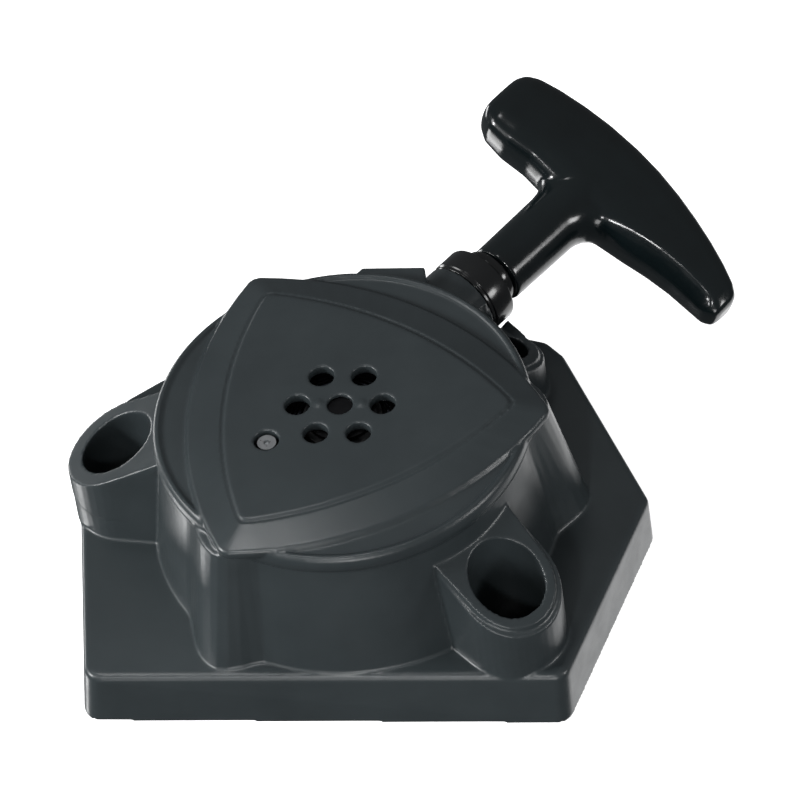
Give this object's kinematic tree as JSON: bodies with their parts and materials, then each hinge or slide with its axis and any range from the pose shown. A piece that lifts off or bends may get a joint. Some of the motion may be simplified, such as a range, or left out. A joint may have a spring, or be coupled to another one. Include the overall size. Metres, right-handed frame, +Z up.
{
  "type": "recoil starter",
  "caption": "Pull-rope recoil starter in a black moulded drum housing with a three-sided cap, sloped screw bosses, a rope outlet and a T-shaped grip.",
  "frame": {"origin": "on the reel axis, in the plane of the mounting face under the base", "axes": "+Z up out of the cap along the reel axis, +X along the front edge of the base, +Y away from the front edge towards the rope outlet"},
  "size_m": [0.1404, 0.1477, 0.05],
  "materials": {
    "black": "satin moulded, fine grain",
    "guide": "glossy black",
    "grip": "semi-gloss black",
    "reel": "satin dark grey nylon",
    "zinc": "zinc plated",
    "spring": "blued spring steel",
    "cover": "pressed sheet",
    "yellow_zinc": "yellow passivated",
    "dark_steel": "dark oxide",
    "rope": "braided cord"
  },
  "bodies": {
    "housing_body": {"housing": "black", "rope_guide": "guide", "pivot_post": "dark_steel", "center_screw": "zinc", "thrust_washer": "zinc", "friction_spring": "spring", "spring_cover": "cover", "cover_screws": "zinc", "spring_anchor_pin": "zinc", "recoil_spring": "spring", "rope_run": "rope"},
    "reel_body": {"reel": "reel", "rope_coil": "rope", "reel_knot": "rope"},
    "plate_body": {"friction_plate": "yellow_zinc"},
    "pawl_a_body": {"pawl_a": "zinc"},
    "pawl_b_body": {"pawl_b": "zinc"},
    "rope_end_body": {"rope_tail": "rope", "grip_knot": "rope", "knot_washer": "zinc"},
    "grip_body": {"handle_grip": "grip"}
  },
  "joints": [
    {"name": "handle_pull", "type": "slide", "parent": "housing_body", "child": "rope_end_body", "axis": [0.606, 0.7955, 0], "range_m": [0, 0.6], "stiffness_N_per_m": 20, "springref_m": -0.5, "deforming": ["rope_run"]},
    {"name": "grip_swivel", "type": "hinge", "parent": "rope_end_body", "child": "grip_body", "pos_m": [0.02752, 0.05321, 0.03], "axis": [0.606, 0.7955, 0], "continuous": true},
    {"name": "reel_spin", "type": "hinge", "parent": "housing_body", "child": "reel_body", "pos_m": [0, 0, 0.03], "axis": [0, 0, -1], "range_deg": [0, 1720], "deforming": ["recoil_spring"]},
    {"name": "plate_lag", "type": "hinge", "parent": "reel_body", "child": "plate_body", "pos_m": [0, 0, 0.0168], "axis": [0, 0, 1], "range_deg": [0, 25]},
    {"name": "pawl_a_swing", "type": "hinge", "parent": "reel_body", "child": "pawl_a_body", "pos_m": [0, 0.019, 0.021], "axis": [0, 0, 1], "range_deg": [0, 28]},
    {"name": "pawl_b_swing", "type": "hinge", "parent": "reel_body", "child": "pawl_b_body", "pos_m": [0, -0.019, 0.021], "axis": [0, 0, 1], "range_deg": [0, 28]}
  ],
  "couplings": [
    {"joint": "reel_spin", "follows": "handle_pull", "rad_per_m": 50},
    {"joint": "pawl_a_swing", "follows": "plate_lag", "ratio": 1.12},
    {"joint": "pawl_b_swing", "follows": "plate_lag", "ratio": 1.12}
  ]
}
